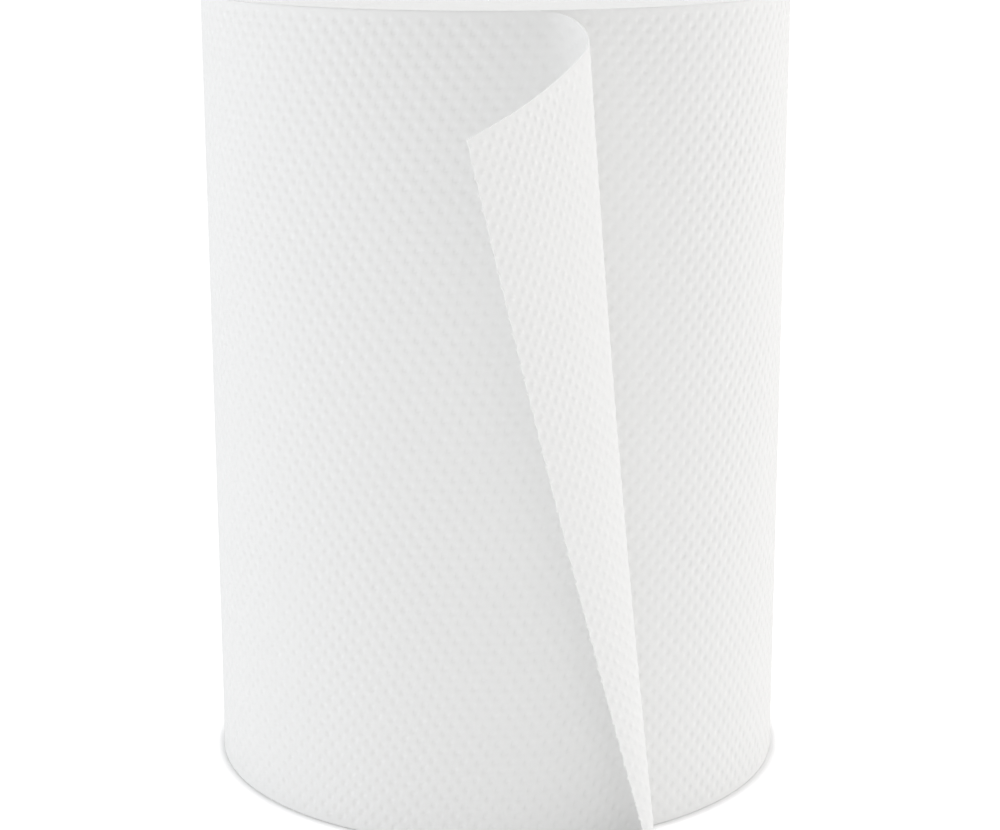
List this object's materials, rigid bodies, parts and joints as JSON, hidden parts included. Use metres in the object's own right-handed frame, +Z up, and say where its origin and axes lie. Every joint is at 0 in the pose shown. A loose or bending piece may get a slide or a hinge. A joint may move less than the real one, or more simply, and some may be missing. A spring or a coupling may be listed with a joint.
{
  "type": "paper towel roll",
  "caption": "Wide roll of embossed white paper towel standing on its end, its loose tail folded forward and curled back, wound on a cardboard core tube.",
  "frame": {"origin": "on the roll's axis at the centre of the core's bore, level with the lower end", "axes": "+Z up along the roll's axis, -Y to the front where the tail leaves the roll, +X to the right seen from the front"},
  "size_m": [0.148, 0.2031, 0.2],
  "materials": {
    "towel_paper": "matte, soft, embossed with staggered dimples",
    "core_board": "matte, spiral wound"
  },
  "bodies": {
    "root": {"paper_roll": "towel_paper", "core_tube": "core_board"}
  },
  "joints": []
}
